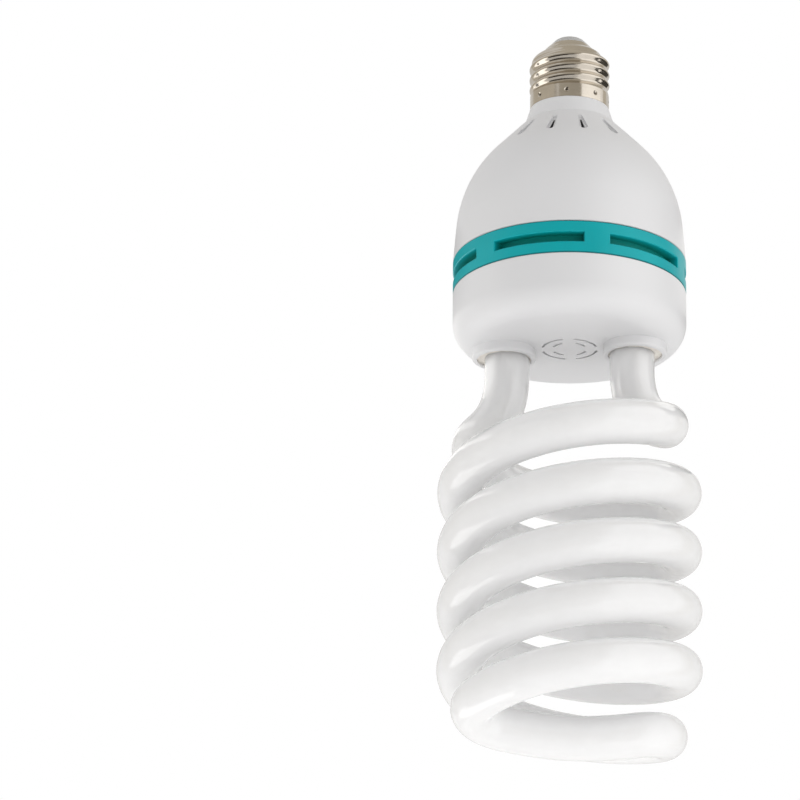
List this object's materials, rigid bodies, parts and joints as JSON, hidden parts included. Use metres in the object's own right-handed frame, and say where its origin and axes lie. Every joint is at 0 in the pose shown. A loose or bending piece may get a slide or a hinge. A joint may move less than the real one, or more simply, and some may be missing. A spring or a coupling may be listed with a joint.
{
  "type": "spiral energy saving bulb",
  "caption": "Screw-in spiral energy saving bulb: a coiled white glass tube hangs from a white bell housing with a teal vent ring, under a nickel screw cap.",
  "frame": {"origin": "centre of the flat end contact of the screw cap, where the bulb meets its holder", "axes": "+Z along the bulb's axis and out of the cap, so the bulb hangs below the origin; +X towards one leg of the tube and -Y towards the front"},
  "size_m": [0.0848, 0.0848, 0.2483],
  "materials": {
    "nickel_shell": "satin",
    "insulator_plastic": "matte",
    "contact_metal": "satin",
    "housing_plastic": "satin",
    "ring_plastic": "satin",
    "tube_glass": "gloss",
    "cement": "matte",
    "board": "matte",
    "capacitor_sleeve": "gloss",
    "bobbin_plastic": "matte",
    "ferrite": "matte",
    "copper_winding": "gloss",
    "black_moulding": "matte",
    "film_capacitor": "gloss",
    "resistor_coat": "matte",
    "thermistor_ceramic": "matte",
    "post_metal": "satin",
    "lead_insulation": "satin"
  },
  "bodies": {
    "root": {"cap_insulator": "insulator_plastic", "centre_contact": "contact_metal", "choke_bobbin": "bobbin_plastic", "choke_core": "ferrite", "choke_winding": "copper_winding", "circuit_board": "board", "coupling_capacitor": "film_capacitor", "drive_toroid": "ferrite", "filter_capacitor": "film_capacitor", "fuse_resistor": "resistor_coat", "input_choke": "ferrite", "leg_cement_left": "cement", "leg_cement_right": "cement", "live_lead": "lead_insulation", "lower_housing": "housing_plastic", "neutral_lead": "lead_insulation", "rectifier_diode_1": "black_moulding", "rectifier_diode_2": "black_moulding", "rectifier_diode_3": "black_moulding", "rectifier_diode_4": "black_moulding", "resonance_capacitor": "film_capacitor", "screw_shell": "nickel_shell", "smoothing_capacitor": "capacitor_sleeve", "spiral_tube": "tube_glass", "thermistor": "thermistor_ceramic", "transistor_left": "black_moulding", "transistor_right": "black_moulding", "tube_lead_1": "post_metal", "tube_lead_2": "post_metal", "tube_lead_3": "post_metal", "tube_lead_4": "post_metal", "upper_housing": "housing_plastic", "vent_ring": "ring_plastic", "wire_post_1": "post_metal", "wire_post_2": "post_metal", "wire_post_3": "post_metal", "wire_post_4": "post_metal"}
  },
  "joints": []
}
